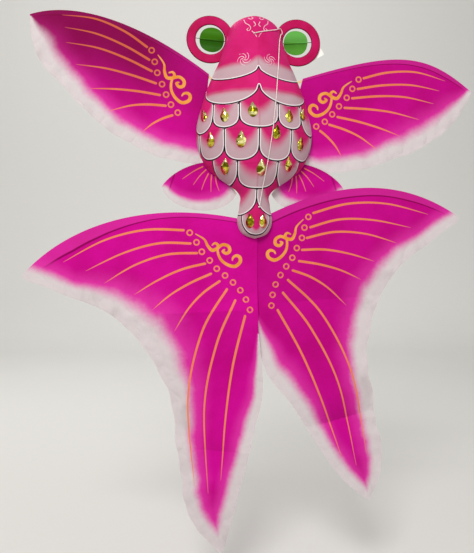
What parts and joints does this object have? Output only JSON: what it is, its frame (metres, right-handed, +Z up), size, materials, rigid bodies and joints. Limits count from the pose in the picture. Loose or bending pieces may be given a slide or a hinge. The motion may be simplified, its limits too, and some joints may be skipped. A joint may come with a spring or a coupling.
{
  "type": "goldfish kite",
  "caption": "Goldfish kite of printed silk on bent bamboo: hollow relief body, spinning eye vanes in ring hoops, swinging wing and tail fins, small belly fins and a bridle thread.",
  "frame": {"origin": "on the spine's flat back face, in the middle plane at shoulder height", "axes": "+Z up along the spine as the kite hangs, +X to the viewer's right, +Y out of the back; the printed front faces -Y"},
  "size_m": [0.7181, 0.0674, 0.8505],
  "materials": {
    "bamboo": "split bamboo, satin",
    "peg": "dark bamboo",
    "body_silk": "printed silk",
    "eye_silk": "plain silk",
    "fin_silk": "printed silk, white hem",
    "vane": "green metallic paper",
    "wire": "iron wire",
    "thread": "white cotton thread",
    "tag": "plain card"
  },
  "bodies": {
    "frame": {"spine": "bamboo", "keel_bow": "bamboo", "head_rib": "bamboo", "shoulder_rib": "bamboo", "belly_rib": "bamboo", "hip_rib": "bamboo", "cap_rib": "bamboo", "left_side_strip": "bamboo", "right_side_strip": "bamboo", "eye_crossbar": "bamboo", "shoulder_crossbar": "bamboo", "hip_crossbar": "bamboo", "waist_crossbar": "bamboo", "tail_crossbar": "bamboo", "frame_lashings": "thread", "head_skin": "body_silk", "body_skin": "body_silk", "left_eye_hoop": "bamboo", "right_eye_hoop": "bamboo", "left_eye_silk": "eye_silk", "right_eye_silk": "eye_silk", "left_eye_axle": "wire", "right_eye_axle": "wire", "left_wing_pin": "peg", "right_wing_pin": "peg", "left_pelvic_splint": "bamboo", "right_pelvic_splint": "bamboo", "left_pelvic_silk": "fin_silk", "right_pelvic_silk": "fin_silk", "tail_pin": "peg", "bridle_line": "thread", "bridle_head_knot": "thread", "bridle_neck_knot": "thread", "paper_tag": "tag"},
    "left_eye": {"left_eye_vane": "vane"},
    "right_eye": {"right_eye_vane": "vane"},
    "left_wing": {"left_wing_spar": "bamboo", "left_wing_silk": "fin_silk"},
    "right_wing": {"right_wing_spar": "bamboo", "right_wing_silk": "fin_silk"},
    "left_tail": {"left_tail_spar": "bamboo", "left_tail_silk": "fin_silk"},
    "right_tail": {"right_tail_spar": "bamboo", "right_tail_silk": "fin_silk"}
  },
  "joints": [
    {"name": "left_eye_spin", "type": "hinge", "parent": "frame", "child": "left_eye", "pos_m": [-0.07, -0.0031, 0.094], "axis": [-0.9969, 0, 0.0785], "continuous": true},
    {"name": "right_eye_spin", "type": "hinge", "parent": "frame", "child": "right_eye", "pos_m": [0.07, -0.0031, 0.094], "axis": [0.9969, 0, 0.0785], "continuous": true},
    {"name": "left_wing_swing", "type": "hinge", "parent": "frame", "child": "left_wing", "pos_m": [-0.0625, -0.0019, 0.028], "axis": [0, 1, 0], "range_deg": [-31, 2.5]},
    {"name": "right_wing_swing", "type": "hinge", "parent": "frame", "child": "right_wing", "pos_m": [0.0625, -0.0019, 0.028], "axis": [0, -1, 0], "range_deg": [-12, 16]},
    {"name": "left_tail_swing", "type": "hinge", "parent": "frame", "child": "left_tail", "pos_m": [0, -0.0083, -0.2], "axis": [0, 1, 0], "range_deg": [-38, 10]},
    {"name": "right_tail_swing", "type": "hinge", "parent": "frame", "child": "right_tail", "pos_m": [0, -0.0059, -0.2], "axis": [0, -1, 0], "range_deg": [-38, 5]}
  ]
}
